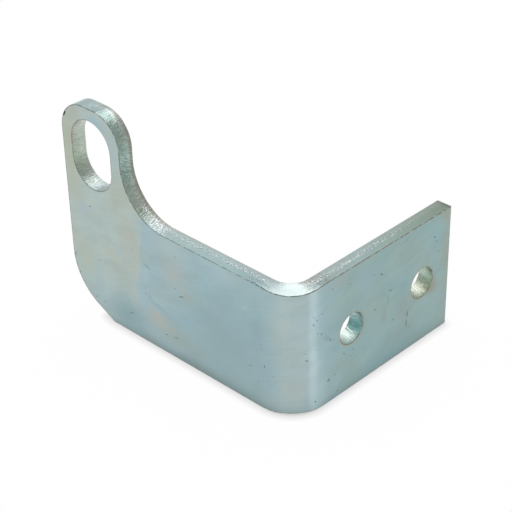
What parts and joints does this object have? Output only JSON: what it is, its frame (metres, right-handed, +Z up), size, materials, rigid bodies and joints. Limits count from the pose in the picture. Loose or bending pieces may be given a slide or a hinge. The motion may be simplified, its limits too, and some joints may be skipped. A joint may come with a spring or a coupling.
{
  "type": "stamped metal bracket",
  "caption": "Thick steel angle bracket folded from flat plate, with a slotted ear on its long arm and bolt holes through its short flange.",
  "frame": {"origin": "middle of the two flange holes, on the flange's outer face", "axes": "+X is the outward normal of the flange, +Y runs along the flange away from the bend, the arm runs towards -X, and +Z is up as the bracket stands on its lower edge with the ear upwards"},
  "size_m": [0.0891, 0.0657, 0.0697],
  "materials": {
    "zinc_plated_steel": "bright zinc plating with a faint blue-green passivate, satin"
  },
  "bodies": {
    "root": {"bracket": "zinc_plated_steel"}
  },
  "joints": []
}
